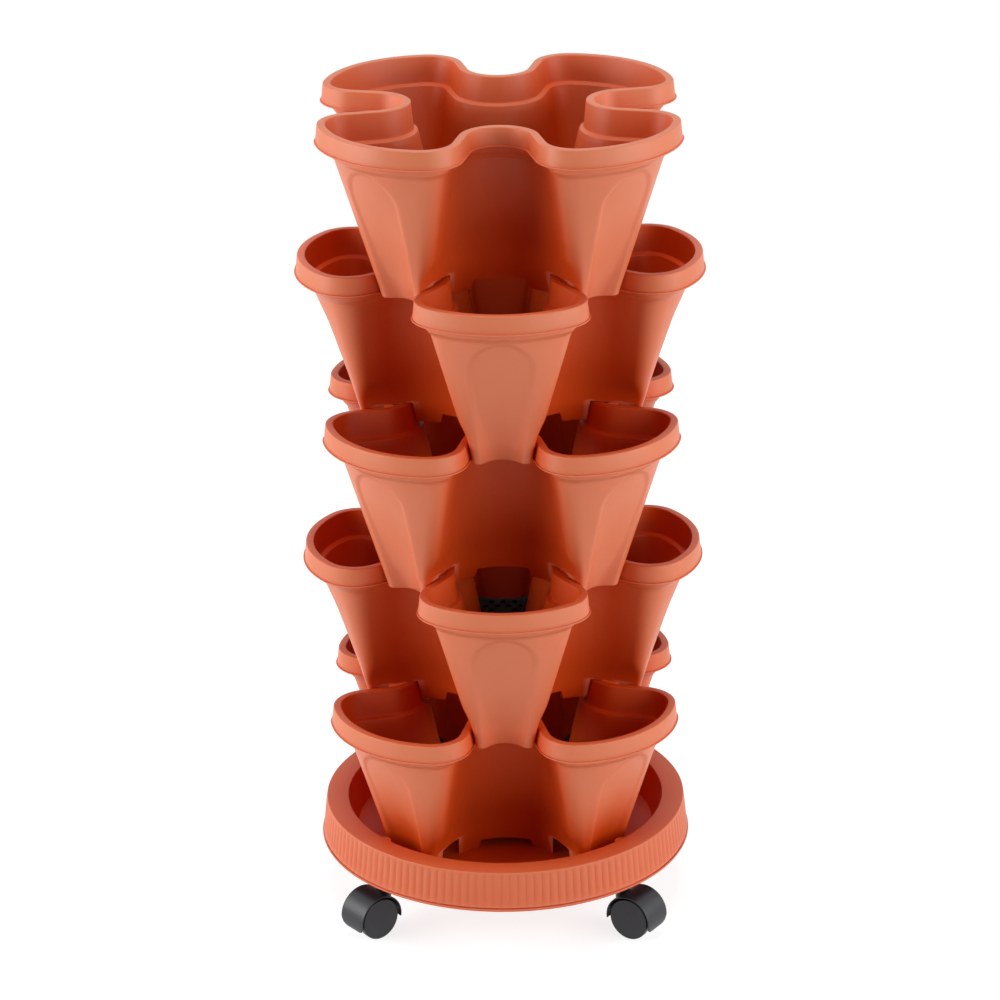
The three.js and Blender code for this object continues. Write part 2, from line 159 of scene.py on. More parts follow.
@dataclass(frozen=True)
class MouldedPlastic:
    """Injection-moulded plastic: an even colour, a fine mould grain and a soft satin gloss.

    Args:
        name: The material's name.
        colour: Body colour.
        shade: Colour of the slightly darker patches, where the melt cooled slowly.
        fold_shade: Painted shade: a darker, more saturated colour laid deep in folds, by ambient
            occlusion.
        fold_shade_mm: Reach of the painted shade: how near the walls of folds stand.
        fold_shade_samples: How many rays feel for them.
        specular: Strength of the gloss, 0.5 for a clean surface.
        edge: Painted highlight: the paler colour that thin, rounded edges take.
        edge_highlight_share: How strongly edges take that painted highlight.
        roughness: Middle roughness.
        roughness_swing: How far the roughness drifts from patch to patch.
        mottle_mm: Size of the darker patches.
        grain_mm: Size of the mould grain.
        grain_depth_mm: Height of the mould grain.
        ior: How strongly it bends light, as polypropylene and nylon do.
        folded: Openness at which the painted shade is full.
        open: Openness from which none of it is left.
        flat: Pointiness at which an edge starts.
        pointed: Pointiness at which an edge is full.
    """

    name: str
    colour: str
    shade: str
    fold_shade: str
    fold_shade_mm: float
    specular: float
    edge: str
    edge_highlight_share: float
    roughness: float
    roughness_swing: float
    mottle_mm: float
    grain_mm: float
    grain_depth_mm: float
    ior: float = 1.49
    fold_shade_samples: int = 4
    folded: float = 0.38
    open: float = 0.95
    flat: float = 0.53
    pointed: float = 0.62

    def build(self) -> bpy.types.Material:
        """Make the material.

        Returns:
            The material.
        """
        material = bpy.data.materials.new(self.name)
        tree = bare_tree(material)
        place = add(tree, "ShaderNodeTexCoord").outputs["Object"]
        patches, grain = (
            add(
                tree,
                "ShaderNodeTexNoise",
                {"Vector": place, "Scale": 1 / (size * MM), "Detail": detail, "Roughness": rough},
            ).outputs["Fac"]
            for size, detail, rough in ((self.mottle_mm, 4.0, 0.55), (self.grain_mm, 3.0, 0.5))
        )
        # painted shade: ambient occlusion finds the folds that take the darker colour
        reach = {"Distance": self.fold_shade_mm * MM}
        around = add(tree, "ShaderNodeAmbientOcclusion", reach, samples=self.fold_shade_samples)
        # painted highlight: pointiness finds the rounded edges that take the paler colour
        pointiness = add(tree, "ShaderNodeNewGeometry").outputs["Pointiness"]
        dull, shiny = self.roughness + self.roughness_swing, self.roughness - self.roughness_swing
        openness, edge_highlight, gloss = (
            add(tree, "ShaderNodeMapRange", dict(enumerate(span))).outputs["Result"]
            for span in (
                (around.outputs["AO"], self.folded, self.open, 0.0, 1.0),
                (pointiness, self.flat, self.pointed, 0.0, self.edge_highlight_share),
                (patches, 0.0, 1.0, dull, shiny),
            )
        )
        # painted shade and highlight: folds take a darker, more saturated colour by ambient
        # occlusion, and thin rounded edges a paler one by pointiness; None is the colour so far
        colour: Socket | None = None
        for factor, low, high in (
            (patches, self.shade, self.colour),
            (openness, self.fold_shade, None),
            (edge_highlight, None, self.edge),
        ):
            ends = {6: linear(low) if low else colour, 7: linear(high) if high else colour}
            mix = add(tree, "ShaderNodeMix", {"Factor": factor, **ends}, data_type="RGBA")
            colour = mix.outputs[2]
        bump = add(tree, "ShaderNodeBump", {"Height": grain, "Distance": self.grain_depth_mm * MM})
        shader = add(
            tree,
            "ShaderNodeBsdfPrincipled",
            {
                "Base Color": colour,
                "Roughness": gloss,
                "Normal": bump.outputs["Normal"],
                "IOR": self.ior,
                "Specular IOR Level": self.specular,
            },
        )
        add(tree, "ShaderNodeOutputMaterial", {"Surface": shader.outputs["BSDF"]})
        return material


@dataclass(frozen=True)
class ZincPlate:
    """Bright zinc-plated steel, turned: fine rings round the shaft and a faint cloudiness.

    Args:
        name: The material's name.
        colour: The metal's colour.
        dull: The colour of its cloudy patches.
        roughness: Middle roughness.
        cloud_mm: Size of the cloudy patches.
        ring_mm: Spacing of the turning marks, drawn coarser than real ones so that they show.
        ring_depth_mm: Depth of the turning marks.
        wander: How much the turning marks waver.
    """

    name: str
    colour: str
    dull: str
    roughness: float
    cloud_mm: float
    ring_mm: float
    ring_depth_mm: float
    wander: float

    def build(self) -> bpy.types.Material:
        """Make the material.

        Returns:
            The material.
        """
        material = bpy.data.materials.new(self.name)
        tree = bare_tree(material)
        place = add(tree, "ShaderNodeTexCoord").outputs["Object"]
        size = 1 / (self.cloud_mm * MM)
        clouds = add(tree, "ShaderNodeTexNoise", {"Vector": place, "Scale": size})
        waves = {"Scale": 1 / (self.ring_mm * MM * math.tau), "Distortion": self.wander}
        rings = add(tree, "ShaderNodeTexWave", {"Vector": place, **waves}, bands_direction="Z")
        colour = add(
            tree,
            "ShaderNodeMix",
            {"Factor": clouds.outputs["Fac"], 6: linear(self.dull), 7: linear(self.colour)},
            data_type="RGBA",
        )
        relief = {"Height": rings.outputs["Fac"], "Distance": self.ring_depth_mm * MM}
        bump = add(tree, "ShaderNodeBump", relief)
        shader = add(
            tree,
            "ShaderNodeBsdfPrincipled",
            {
                "Base Color": colour.outputs[2],
                "Metallic": 1.0,
                "Roughness": self.roughness,
                "Normal": bump.outputs["Normal"],
            },
        )
        add(tree, "ShaderNodeOutputMaterial", {"Surface": shader.outputs["BSDF"]})
        return material


def finishes() -> dict[Slot, bpy.types.Material]:
    """Make the four finishes of the tower.

    Returns:
        The material of each slot.
    """
    # Terracotta-coloured polypropylene, injection moulded: satin and warm, with painted shade deep
    # in folds and painted highlights along thin edges
    terracotta = MouldedPlastic(
        name="terracotta_polypropylene",
        colour="#CA7351",
        shade="#C46B4A",
        fold_shade="#C64206",
        fold_shade_mm=170,
        specular=0.28,
        edge="#F0987A",
        edge_highlight_share=0.4,
        roughness=0.42,
        roughness_swing=0.05,
        mottle_mm=60,
        grain_mm=0.9,
        grain_depth_mm=0.02,
    )
    # Black polypropylene, injection moulded: nearly matt, with a faint grey bloom, painted shade in
    # folds and painted highlights on edges
    black = MouldedPlastic(
        name="black_polypropylene",
        colour="#0C0C0D",
        shade="#080809",
        fold_shade="#050506",
        fold_shade_mm=40,
        specular=0.2,
        edge="#1C1C1E",
        edge_highlight_share=0.5,
        roughness=0.55,
        roughness_swing=0.06,
        mottle_mm=18,
        grain_mm=0.8,
        grain_depth_mm=0.03,
    )
    # Black glass-filled nylon, moulded: a fine leathery grain that breaks up its highlights, with
    # painted shade in folds and painted highlights on edges
    nylon = MouldedPlastic(
        name="black_nylon",
        colour="#1F1F25",
        shade="#1A1A1F",
        fold_shade="#131316",
        fold_shade_mm=8,
        specular=0.42,
        edge="#3C3C43",
        edge_highlight_share=0.4,
        roughness=0.39,
        roughness_swing=0.05,
        mottle_mm=12,
        grain_mm=0.7,
        grain_depth_mm=0.03,
    )
    # Turned steel with bright zinc plate: cool, slightly cloudy, with fine rings
    zinc = ZincPlate(
        name="bright_zinc_plate",
        colour="#C9CCD0",
        dull="#A8ABB0",
        roughness=0.3,
        cloud_mm=6,
        ring_mm=0.5,
        ring_depth_mm=0.01,
        wander=0.4,
    )
    made = (terracotta, black, nylon, zinc)
    return {slot: finish.build() for slot, finish in zip(Slot, made)}


def put(name: str, data: bpy.types.ID) -> Piece:
    """Put a new object in the scene, at the origin.

    Args:
        name: The object's name.
        data: Its mesh, camera or lamp.

    Returns:
        The object.
    """
    piece = bpy.data.objects.new(name, data)
    bpy.context.scene.collection.objects.link(piece)
    return piece


def new_object(name: str, solid: Solid) -> Piece:
    """Make an object from points in millimetres, with its faces turned outwards.

    Args:
        name: The object's name.
        solid: Its points and faces.

    Returns:
        The object.
    """
    points, faces = solid
    mesh = bpy.data.meshes.new(name)
    mesh.from_pydata((points * MM).tolist(), [], faces)
    made = bmesh.new()
    made.from_mesh(mesh)
    bmesh.ops.remove_doubles(made, verts=made.verts, dist=WELD)
    bmesh.ops.recalc_face_normals(made, faces=made.faces)
    made.to_mesh(mesh)
    made.free()
    return put(name, mesh)


def apply_modifiers(piece: Piece) -> Piece:
    """Turn a piece's modifiers into plain mesh.

    Args:
        piece: The piece.

    Returns:
        The same piece, with no modifiers left.
    """
    graph = bpy.context.evaluated_depsgraph_get()
    mesh = bpy.data.meshes.new_from_object(piece.evaluated_get(graph))
    piece.modifiers.clear()
    piece.data = mesh
    return piece


def combine(piece: Piece, solid: Solid, how: str) -> None:
    """Cut a solid from a piece, or join it on.

    Args:
        piece: The piece that is changed.
        solid: The closed solid that changes it.
        how: DIFFERENCE or UNION.
    """
    tool = new_object("tool", solid)
    step = piece.modifiers.new(how.lower(), "BOOLEAN")
    step.operation = how
    step.solver = "EXACT"
    step.object = tool
    apply_modifiers(piece)
    bpy.data.objects.remove(tool)


def smooth(piece: Piece, crease: float = 38) -> Piece:
    """Shade a piece smooth, apart from its creases.

    Args:
        piece: The piece.
        crease: Edges sharper than this stay crisp, in degrees.

    Returns:
        The piece.
    """
    piece.data.shade_smooth()
    piece.data.set_sharp_from_angle(angle=math.radians(crease))
    return piece


def loft(rings: Sequence[np.ndarray], closed: bool = False) -> Solid:
    """Skin rings of equal count.

    Args:
        rings: The rings, in order along the surface.
        closed: Whether the last ring joins the first, instead of both ends being capped.

    Returns:
        Points and faces.
    """
    count = len(rings[0])
    faces: list[list[int]] = []
    for r in range(len(rings) if closed else len(rings) - 1):
        low, high = r * count, ((r + 1) % len(rings)) * count
        for i in range(count):
            j = (i + 1) % count
            faces.append([low + i, low + j, high + j, high + i])
    if not closed:
        last = (len(rings) - 1) * count
        faces.append(list(range(count))[::-1])
        faces.append([last + i for i in range(count)])
    return np.concatenate(rings), faces


def prism(outline: Sequence[Point], low: float, high: float) -> Solid:
    """Pull a flat outline up from one level to another.

    Args:
        outline: Points in the X-Y plane.
        low: Lower level.
        high: Upper level.

    Returns:
        Points and faces.
    """
    flat = np.array(outline, float)
    return loft([np.column_stack([flat, np.full(len(flat), z)]) for z in (low, high)])


def circle(x: float, y: float, radius: float, sides: int) -> list[Point]:
    """Points round a circle.

    Args:
        x: The centre's X.
        y: The centre's Y.
        radius: The circle's radius.
        sides: How many points it gets.

    Returns:
        The points, anticlockwise.
    """
    turns = np.linspace(0, math.tau, sides, endpoint=False)
    return [(x + radius * math.cos(t), y + radius * math.sin(t)) for t in turns]


def rounded(*corners: tuple[float, ...], steps: int = 4) -> list[Point]:
    """Round the corners of a profile.

    Args:
        corners: For each corner, its distance outwards, its level and the radius that rounds it,
            if any. The two ends are never rounded.
        steps: Segments in each round.

    Returns:
        The rounded profile.
    """
    points: list[Point] = []
    for i, (out, level, *radii) in enumerate(corners):
        here = Vector((out, level))
        if not radii or i in (0, len(corners) - 1):
            points.append((here.x, here.y))
            continue
        before = Vector(corners[i - 1][:2]) - here
        after = Vector(corners[i + 1][:2]) - here
        reach = min(before.length, after.length) / 2
        half = before.angle(after) / 2
        radius = min(radii[0], reach * math.tan(half))
        before.normalize()
        after.normalize()
        middle = here + (before + after).normalized() * (radius / math.sin(half))
        start = here + before * (radius / math.tan(half)) - middle
        end = here + after * (radius / math.tan(half)) - middle
        for k in range(steps + 1):
            arm = start.slerp(end, k / steps) if start.angle(end) > STRAIGHT else start
            points.append((middle.x + arm.x, middle.y + arm.y))
    return points


def lathe(profile: Sequence[Point], sides: int) -> Solid:
    """Turn a closed profile round the Z axis.

    Args:
        profile: Radius and height of each point; the last joins the first.
        sides: Steps round the axis.

    Returns:
        Points and faces, with poles where the profile meets the axis.
    """
    turns = np.linspace(0, math.tau, sides, endpoint=False)
    x, y = np.cos(turns), np.sin(turns)
    return loft([np.column_stack([r * x, r * y, np.full(sides, z)]) for r, z in profile], True)


def turned(points: np.ndarray, angle: float) -> np.ndarray:
    """Turn points about the Z axis by an angle in radians."""
    c, s = math.cos(angle), math.sin(angle)
    return points @ np.array([[c, s, 0], [-s, c, 0], [0, 0, 1]])


def merged(solids: Iterable[Solid]) -> Solid:
    """Put several solids in one.

    Args:
        solids: Closed solids that touch nowhere.

    Returns:
        All their points and faces.
    """
    points: list[np.ndarray] = []
    faces: list[list[int]] = []
    for some, sides in solids:
        total = sum(map(len, points))
        points.append(some)
        faces += [[i + total for i in side] for side in sides]
    return np.concatenate(points), faces


@dataclass(frozen=True)
class Clover:
    """A four-lobed outline of tangent arcs, in the frame of a lobe along +X.

    Args:
        tip: Reach of a lobe.
        corner_along: Centre of a lobe's corner arc, along the lobe.
        corner_across: The same, across the lobe.
        corner_radius: Radius of the corner arc.
        valley: Distance from the axis to the bottom of a valley.
        valley_radius: Radius of the valley's arc.
    """

    tip: float
    corner_along: float
    corner_across: float
    corner_radius: float
    valley: float
    valley_radius: float

    FACE_STEPS = 26
    CORNER_STEPS = 12
    SIDE_STEPS = 4
    VALLEY_STEPS = 12

    def grown(self, by: float) -> Clover:
        """Move the outline outwards.

        Args:
            by: How far, or inwards where it is negative.

        Returns:
            The moved outline.
        """
        return replace(
            self,
            tip=self.tip + by,
            corner_radius=self.corner_radius + by,
            valley=self.valley + by,
            valley_radius=self.valley_radius - by,
        )

    def mixed(self, other: Clover, share: float) -> Clover:
        """The outline that lies a share of the way to another."""
        pairs = ((getattr(self, f.name), getattr(other, f.name)) for f in fields(self))
        return Clover(*(mine * (1 - share) + theirs * share for mine, theirs in pairs))

    def half(self, dip: Dip) -> np.ndarray:
        """Half a lobe, from its tip to the middle of the valley.

        Args:
            dip: How far the lobe's face is pressed in, by distance across it.

        Returns:
            Points in the X-Y plane.
        """
        d = self.corner_along - self.tip
        chord = self.corner_radius**2 - d**2 - self.corner_across**2
        face = chord / (2 * (d + self.corner_radius))
        centre = self.tip - face
        face_end = math.atan2(self.corner_across, self.corner_along - centre)
        across = np.linspace(0, face * math.sin(face_end), self.FACE_STEPS + 1)
        along = centre + np.sqrt(face**2 - across**2) - dip(across)

        corner = np.array([self.corner_along, self.corner_across])
        valley = np.full(2, (self.valley + self.valley_radius) * math.sqrt(0.5))
        between = valley - corner
        reach = (self.corner_radius + self.valley_radius) / np.linalg.norm(between)
        normal = math.atan2(between[1], between[0]) - math.acos(min(1.0, reach))
        bend = np.linspace(face_end, normal, self.CORNER_STEPS + 1)[1:]
        arc = corner + self.corner_radius * np.column_stack([np.cos(bend), np.sin(bend)])
        bend = np.linspace(normal - math.pi, -math.pi + math.pi / LOBES, self.VALLEY_STEPS + 1)
        bowl = valley + self.valley_radius * np.column_stack([np.cos(bend), np.sin(bend)])
        shares = np.linspace(0, 1, self.SIDE_STEPS + 1)[1:-1, None]
        side = arc[-1] * (1 - shares) + bowl[0] * shares
        return np.concatenate([np.column_stack([along, across]), arc, side, bowl])

    def ring(self, level: float, dip: Dip) -> np.ndarray:
        """The whole outline at a level, anticlockwise.

        Args:
            level: Height of the ring.
            dip: How far a lobe's face is pressed in, by distance across it.

        Returns:
            Points in space.
        """
        upper = self.half(dip)
        lower = upper[1:-1][::-1] * [1, -1]
        lobe = np.concatenate([lower, upper])
        lobe = np.column_stack([lobe, np.full(len(lobe), level)])
        return np.concatenate([turned(lobe, k * LOBE_TURN) for k in range(LOBES)])


@dataclass
class Dresser:
    """Gives finished pieces the material of their slot, and their body."""

    materials: dict[Slot, bpy.types.Material]

    def paint(self, piece: Piece, slot: Slot) -> None:
        """Give a piece the one material of its slot.

        Args:
            piece: The piece.
            slot: Its material slot.
        """
        piece.data.materials.clear()
        piece.data.materials.append(self.materials[slot])

    def dress(self, piece: Piece, slot: Slot, body: str, *nodes: str) -> None:
        """Finish a piece that stands for nodes of the frame.

        Args:
            piece: The piece, in its place.
            slot: Its material slot.
            body: The body that it rides on.
            nodes: The nodes that it replaces.
        """
        self.paint(piece, slot)
        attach(piece, body)
        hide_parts(*nodes)
        log.info("%s: %d vertices on %s", piece.name, len(piece.data.vertices), body)


def copy_at(source: Piece, name: str, angle: float, shift: Vector) -> Piece:
    """Copy a piece with its place in its mesh.

    Args:
        source: The piece to copy, at the origin.
        name: The copy's name.
        angle: Turn about the Z axis, in radians.
        shift: Move, in metres.

    Returns:
        The copy, whose object stays at the origin.
    """
    mesh = source.data.copy()
    mesh.name = name
    mesh.transform(Matrix.Translation(shift) @ Matrix.Rotation(angle, 4, "Z"))
    return put(name, mesh)


@dataclass
class Pots:
    """The five pots: one moulding, turned by half a lobe from tier to tier.

    Heights are measured up from a pot's feet. The lobes' outlines are tuned to the photograph.
    """

    dresser: Dresser
    tiers: int = 5
    height: float = 156
    nest_depth: float = 19
    seat_gap: float = 0.3
    wall: float = 2.5
    floor_plate: float = 2.5
    band_height: float = 17.2
    collar_height: float = 10.6
    ledge_rise: float = 2
    lip_width: float = 8.2
    band_flare: float = 1.5
    collar_inset: float = 7.7
    body_inset: float = 13.3
    valley_ease: float = 1.7
    rim: Clover = Clover(180, 132.6, 41.1, 33.4, 83.8, 27.1)
    root: Clover = Clover(122.3, 115.8, 20.5, 6, 45, 60)
    foot_along: float = 117.4
    foot_across: float = 21
    foot_radius: float = 4.3
    foot_top_widen: float = 3.7
    foot_top_reach: float = 4.9
    foot_blend: float = 26
    panel_foot_half: float = 19
    panel_arch_half: float = 28.5
    panel_spring: float = 97
    panel_depth: float = 10
    panel_step: float = 1.7
    panel_slope: float = 0.95
    panel_softness: float = 1.4
    tab_reach: float = 43.4
    foot_back: float = 106
    slot_half: float = 40
    slot_clear: float = 6
    notch_root_half: float = 26
    notch_crown_half: float = 22.6
    notch_height: float = 8.7
    notch_near: float = 34
    notch_far: float = 61
    drain_radius: float = 5
    drain_out: float = 92
    drain_sides: int = 32
    lip_round: float = 1.7
    bead_height: float = 1.3
    bead_proud: float = 0.5
    bead_round: float = 0.5
    collar_round: float = 2.4
    ledge_round: float = 1.6
    floor_round: float = 2.5
    floor_lap: float = 1.2
    skirt_round: float = 0.6
    body_rows: int = 60
    row_crowding: float = 1.5

    @property
    def floor_under(self) -> float:
        """Level of the floor plate's underside."""
        return self.nest_depth + self.seat_gap

    @property
    def floor_top(self) -> float:
        """Level of the floor plate's upper face."""
        return self.floor_under + self.floor_plate

    @property
    def ledge_level(self) -> float:
        """Level where the body meets the collar."""
        return self.height - self.band_height - self.collar_height

    def rim_at(self, offset: float) -> Clover:
        """The rim's outline, moved; under the collar it is eased in the valleys.

        Args:
            offset: How far it is moved outwards.

        Returns:
            The outline.
        """
        outline = self.rim.grown(offset)
        share = (-offset - self.collar_inset) / (self.body_inset - self.collar_inset)
        ease = self.valley_ease * min(1.0, max(0.0, share))
        return replace(outline, valley=outline.valley + ease)

    def foot_corner(self, outline: Clover, level: float) -> Clover:
        """An outline with the slimmer corners of the feet.

        Args:
            outline: The outline whose corners are changed.
            level: Height above the feet.

        Returns:
            The slimmer outline.
        """
        share = level / self.floor_under
        return replace(
            outline,
            corner_along=self.foot_along + self.foot_top_reach * share,
            corner_across=self.foot_across + self.foot_top_widen * share,
            corner_radius=self.foot_radius,
        )

    def body_at(self, level: float) -> Clover:
        """The body's outer outline, drawn in to the slimmer foot at its lower end.

        Args:
            level: Height above the feet.

        Returns:
            The outline.
        """
        body = self.root.mixed(self.rim_at(-self.body_inset), level / self.ledge_level)
        share = min(1.0, max(0.0, (level - self.floor_under) / self.foot_blend))
        return self.foot_corner(body, level).mixed(body, share**2 * (3 - 2 * share))

    def panel(self, level: float) -> Dip:
        """The arched panel pressed into each lobe's face, at a level.

        It is a scoop that deepens towards the foot, inside a soft step that runs round the arch.

        Args:
            level: Height above the feet.

        Returns:
            Depth by distance across the face.
        """
        over = max(0.0, level - self.panel_spring)
        share = min(1.0, max(0.0, level) / self.panel_spring)
        half = self.panel_foot_half + (self.panel_arch_half - self.panel_foot_half) * share
        if over >= half + self.panel_softness / self.panel_slope:
            return np.zeros_like
        depth = self.panel_depth * max(0.0, 1 - level / self.ledge_level)

        def dip(across: np.ndarray) -> np.ndarray:
            """How deep the face is pressed in.

            Args:
                across: Distances across the face.

            Returns:
                The depth at each.
            """
            # the scoop meets the bank round it in a soft crease, and the bank starts softly too
            soft = self.panel_softness
            scoop = self.panel_step + depth * np.maximum(0, 1 - (across / half) ** 2)
            bank = (half - np.hypot(across, over)) * self.panel_slope
            near = np.maximum(soft - np.abs(scoop - bank), 0)
            deep = np.minimum(scoop, bank) - near**2 / (4 * soft)
            brow = np.clip(deep + soft, 0, 2 * soft)
            return np.maximum(brow**2 / (4 * soft), deep)

        return dip

    def wall_ring(self, offset: float, level: float) -> np.ndarray:
        """A ring of the rim or the body.

        Args:
            offset: Distance outwards from the rim's outline, or from its taper under the ledge.
            level: Height above the feet.

        Returns:
            The ring's points.
        """
        if level >= self.ledge_level:
            outline = self.rim_at(offset)
        else:
            outline = self.body_at(level).grown(self.body_inset + offset)
        return outline.ring(level, self.panel(level))

    def skirt_ring(self, offset: float, level: float) -> np.ndarray:
        """A ring of the skirt.

        Args:
            offset: Distance outwards from the skirt's outer face.
            level: Height above the feet.

        Returns:
            The ring's points.
        """
        skirt = self.foot_corner(self.body_at(level), level)
        return skirt.grown(offset).ring(level, self.panel(level))

    def levels(self, base: float, room: float) -> list[float]:
        """Levels for the body's rows, closer together towards the top, where the arches need them.

        Args:
            base: The lowest level.
            room: What stays free under the ledge.

        Returns:
            The levels, upwards.
        """
        rise = self.ledge_level - base
        rows = [1 - (1 - k / self.body_rows) ** self.row_crowding for k in range(self.body_rows)]
        return [base + rise * share for share in rows if rise * share < rise - room]

    def shell(self) -> Solid:
        """The pot as one closed skin, before its skirt is cut.

        Returns:
            Points and faces.
        """
        skirt = rounded(
            (-self.wall, self.floor_under),
            (-self.wall, 0, self.skirt_round),
            (0, 0, self.skirt_round),
            (0, self.floor_under),
            steps=3,
        )
        outer = -self.body_inset
        inner = outer - self.wall
        band_foot = self.height - self.band_height
        inner_ledge = self.ledge_level + self.wall
        outside = [(outer, z) for z in self.levels(self.floor_under, self.collar_round)]
        inside = [(inner, z) for z in self.levels(self.floor_top, self.floor_round)[:0:-1]]
        upper = rounded(
            outside[-1],
            (outer, self.ledge_level, self.collar_round),
            (-self.collar_inset, self.ledge_level + self.ledge_rise, self.collar_round),
            (-self.collar_inset, band_foot, self.collar_round),
            (self.band_flare + self.bead_proud, band_foot, self.bead_round),
            (self.band_flare, band_foot + self.bead_height, self.bead_round),
            (0, self.height, self.lip_round),
            (-self.lip_width, self.height, self.lip_round),
            (-self.collar_inset - self.wall, inner_ledge, self.ledge_round),
            (inner, inner_ledge, self.ledge_round),
            (inner, self.ledge_level - self.floor_round),
        )
        floor = rounded(
            inside[-1],
            (inner, self.floor_top, self.floor_round),
            (inner - self.floor_lap, self.floor_top),
        )
        body = outside + upper[1:-1] + inside + floor[1:]
        return loft([self.skirt_ring(*p) for p in skirt] + [self.wall_ring(*p) for p in body])

    def cutters(self) -> Solid:
        """What is cut from the shell: eight slots, four notches and five drain holes.

        Returns:
            Points and faces of closed solids that touch nowhere.
        """
        tab_line = self.tab_reach * math.sqrt(2)
        slot = (
            (tab_line + self.slot_clear, self.slot_clear),
            (self.foot_back, self.slot_clear),
            (self.foot_back, self.slot_half),
            (min(tab_line + self.slot_half, self.foot_back - self.wall), self.slot_half),
        )
        slots = [
            prism([(x, side * y) for x, y in slot], -OVERRUN, self.floor_under) for side in (1, -1)
        ]
        # the notch's sides run on down past the feet at their slant
        slant = (self.notch_root_half - self.notch_crown_half) / self.notch_height
        low = self.notch_crown_half + slant * (self.notch_height + OVERRUN)
        high = self.notch_crown_half
        corners = ((-low, -OVERRUN), (low, -OVERRUN), (high, self.notch_height))
        corners += ((-high, self.notch_height),)
        ends = (self.notch_near, self.notch_far)
        notch = loft([np.array([(out, *corner) for corner in corners]) for out in ends])
        solids = [self.drain(0)]
        for k in range(LOBES):
            for points, faces in (*slots, self.drain(self.drain_out)):
                solids.append((turned(points, k * LOBE_TURN), faces))
            solids.append((turned(notch[0], (k + 0.5) * LOBE_TURN), notch[1]))
        return merged(solids)

    def drain(self, out: float) -> Solid:
        """The cutter for one drain hole, at a distance out from the axis."""
        outline = circle(out, 0, self.drain_radius, self.drain_sides)
        return prism(outline, self.floor_under - OVERRUN, self.floor_top + OVERRUN)

    def spread(self, pattern: Piece, slot: Slot, name: str, body: str, node: str) -> None:
        """Copy a finished pattern to every tier, and delete it.

        Args:
            pattern: The piece, as it stands in a pot with its feet at the origin.
            slot: Its material slot.
            name: What the copies are called before the tier's number.
            body: What their bodies are called before the tier's number.
            node: What their nodes are called after the tier's number.
        """
        for tier in range(1, self.tiers + 1):
            low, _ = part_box(f"tier_{tier}_pot")
            turn = LOBE_TURN / 2 if tier % 2 else 0.0
            piece = copy_at(pattern, f"{name}_{tier}", turn, Vector((0, 0, low.z)))
            self.dresser.dress(piece, slot, f"{body}_{tier}", f"tier_{tier}_{node}")
        bpy.data.objects.remove(pattern)

    def build(self) -> None:
        """Make the pots, one on each tier's body."""
        pattern = new_object("pot_pattern", self.shell())
        combine(pattern, self.cutters(), "DIFFERENCE")
        self.spread(smooth(pattern), Slot.TERRACOTTA, "pot", "tier", "pot")


class NodeGroup:
    """A geometry node tree with named inputs, under construction.

    Inputs and results are known by name, so that a later node can ask for them.
    """

    def __init__(self, name: str, sizes: Mapping[str, int | float]) -> None:
        """Start a tree that takes a geometry and sizes, and gives a geometry.

        Args:
            name: The tree's name.
            sizes: The named inputs, whole numbers for counts and metres for lengths.
        """
        self.tree = bpy.data.node_groups.new(name, "GeometryNodeTree")
        face = self.tree.interface
        face.new_socket("Geometry", in_out="INPUT", socket_type="NodeSocketGeometry")
        face.new_socket("Geometry", in_out="OUTPUT", socket_type="NodeSocketGeometry")
        self.values: dict[str, int | float] = {}
        for label, value in sizes.items():
            kind = "NodeSocketInt" if isinstance(value, int) else "NodeSocketFloat"
            socket = face.new_socket(label, in_out="INPUT", socket_type=kind)
            self.values[socket.identifier] = value
        self.known = dict(add(self.tree, "NodeGroupInput").outputs.items())

    def node(
        self, kind: str, inputs: Mapping[Any, Any] | None = None, **settings: Any
    ) -> bpy.types.Node:
        """Add a node to the tree.

        Args:
            kind: The node's type.
            inputs: Values, sockets or names of what is known, by input name or number.
            settings: Properties of the node.

        Returns:
            The new node.
        """
        given = {
            key: self.known.get(value, value) if isinstance(value, str) else value
            for key, value in (inputs or {}).items()
        }
        return add(self.tree, kind, given, **settings)

    def sums(self, *rows: tuple[Any, ...]) -> None:
        """Add a run of sums, each of which may use the results above it.

        Args:
            rows: For each sum, its result's name, its operation, and values or names to work on.
        """
        for name, operation, *values in rows:
            made = self.node("ShaderNodeMath", dict(enumerate(values)), operation=operation)
            self.known[name] = made.outputs[0]

    def run(self, piece: Piece, result: Socket, material: bpy.types.Material) -> None:
        """End the tree, run it on a piece and keep the result as plain mesh.

        Args:
            piece: The piece whose mesh the tree changes.
            result: The geometry that the tree makes.
            material: The material that the result gets.
        """
        real = self.node("GeometryNodeRealizeInstances", {"Geometry": result}).outputs[0]
        painted = self.node("GeometryNodeSetMaterial", {"Geometry": real, "Material": material})
        self.node("NodeGroupOutput", {"Geometry": painted.outputs[0]})
        step = piece.modifiers.new(self.tree.name, "NODES")
        step.node_group = self.tree
        for identifier, value in self.values.items():
            step[identifier] = value
        apply_modifiers(piece)


